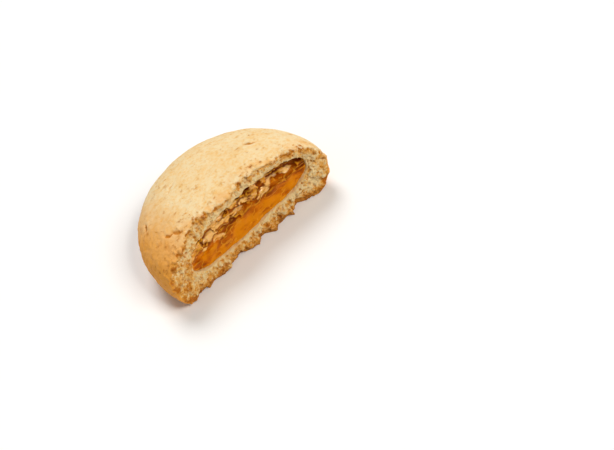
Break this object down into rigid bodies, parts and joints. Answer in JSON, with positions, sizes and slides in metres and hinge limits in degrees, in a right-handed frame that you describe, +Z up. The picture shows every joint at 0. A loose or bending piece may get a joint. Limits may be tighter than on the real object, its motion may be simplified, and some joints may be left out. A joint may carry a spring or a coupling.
{
  "type": "filled cookie half",
  "caption": "Broken half of a domed, soft-baked round cookie on its flat underside, its torn crumb showing the glossy fruit jam filling that runs through it.",
  "frame": {"origin": "middle of the object's bounding box, on its flat underside, where it rests", "axes": "+X along the break, -Y the way the torn break faces, +Z up through the dome"},
  "size_m": [0.05, 0.0298, 0.0188],
  "materials": {
    "baked_dough": "matt golden baked crust, finely pitted, with pale torn crumb on the break and a browner underside",
    "jam": "wet, glossy, translucent amber fruit jam"
  },
  "bodies": {
    "root": {"cookie_dough": "baked_dough", "jam_filling": "jam"}
  },
  "joints": []
}
